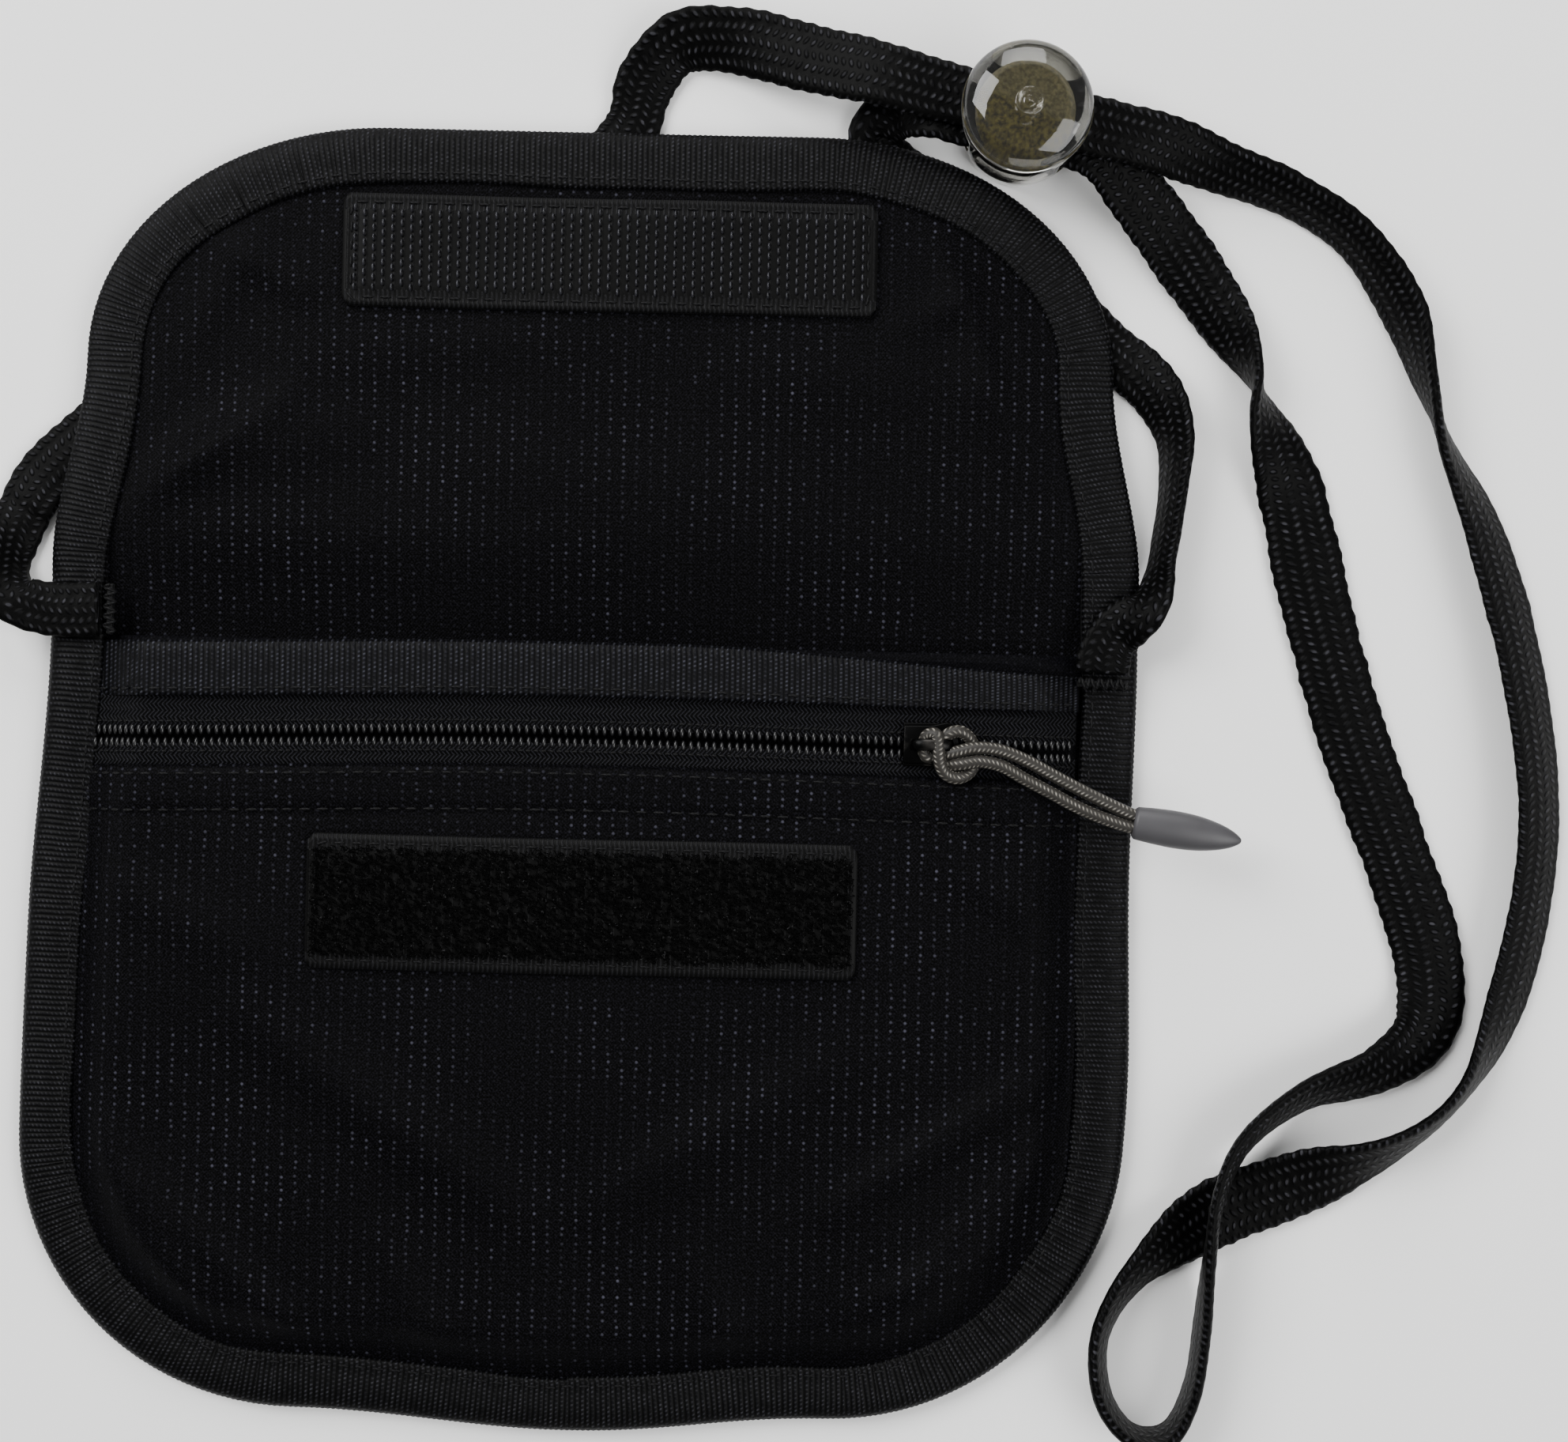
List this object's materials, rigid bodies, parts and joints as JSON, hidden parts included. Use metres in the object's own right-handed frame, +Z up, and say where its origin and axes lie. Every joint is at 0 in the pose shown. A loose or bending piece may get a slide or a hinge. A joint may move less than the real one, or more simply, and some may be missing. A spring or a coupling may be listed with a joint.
{
  "type": "neck pouch wallet",
  "caption": "Flat fabric neck pouch with an open pocket, a front zip pocket, a hook-and-loop flap and a flat braided neck cord with a push-button cord lock.",
  "frame": {"origin": "middle of the pouch's outline on the table, the pouch lying on its back with its flap open; the neck cord and cord lock are left out of it", "axes": "+X to the right as the open front is seen, +Y from the bottom hem towards the tip of the open flap, +Z up from the table"},
  "size_m": [0.2278, 0.2051, 0.0202],
  "materials": {
    "nylon_cloth": "black woven nylon with a fine dotted rib",
    "lining_cloth": "thin black lining",
    "grosgrain_tape": "black ribbed grosgrain",
    "zip_tape": "black knitted zip tape",
    "zip_coil": "black nylon coil",
    "loop_pile": "black loop pile",
    "hook_tape": "black hook tape",
    "black_zinc": "black plated zinc die casting",
    "grey_cord": "light grey braided cord",
    "grey_moulding": "matt grey soft plastic",
    "clear_plastic": "clear moulded plastic",
    "olive_plastic": "translucent olive plastic",
    "spring_steel": "bright spring wire",
    "black_braid": "black flat braided cord",
    "black_thread": "black sewing thread"
  },
  "bodies": {
    "pouch": {"back_panel": "nylon_cloth", "pocket_divider": "lining_cloth", "front_panel": "nylon_cloth", "body_binding": "grosgrain_tape", "mouth_band": "grosgrain_tape", "zip_tape_upper": "zip_tape", "zip_tape_lower": "zip_tape", "zip_coil_upper": "zip_coil", "zip_coil_lower": "zip_coil", "loop_strip": "loop_pile", "neck_cord": "black_braid", "bartack_left": "black_thread", "bartack_right": "black_thread"},
    "flap": {"flap_panel": "nylon_cloth", "flap_binding": "grosgrain_tape", "hook_strip": "hook_tape"},
    "slider": {"slider_body": "black_zinc", "slider_crown": "black_zinc"},
    "pull": {"pull_cord": "grey_cord", "pull_tip": "grey_moulding"},
    "cord_lock": {"lock_barrel": "clear_plastic", "lock_spring": "spring_steel"},
    "lock_button": {"lock_plunger": "olive_plastic", "lock_dome": "clear_plastic"}
  },
  "joints": [
    {"name": "flap_fold", "type": "hinge", "parent": "pouch", "child": "flap", "pos_m": [0, 0.0295, 0.00765], "axis": [1, 0, 0], "range_deg": [0, 180]},
    {"name": "zip_slide", "type": "slide", "parent": "pouch", "child": "slider", "axis": [1, 0, 0], "range_m": [-0.1095, 0.0095]},
    {"name": "pull_lift", "type": "hinge", "parent": "slider", "child": "pull", "pos_m": [0.05, 0.0066, 0.0098], "axis": [0, 1, 0], "range_deg": [-150, 0]},
    {"name": "lock_slide", "type": "slide", "parent": "pouch", "child": "cord_lock", "axis": [0.9781, -0.2079, 0], "range_m": [-0.002, 0.002]},
    {"name": "lock_press", "type": "slide", "parent": "cord_lock", "child": "lock_button", "axis": [0, 0, -1], "range_m": [0, 0.0025], "stiffness_N_per_m": 1500, "springref_m": -0.002, "deforming": ["lock_spring"]}
  ]
}
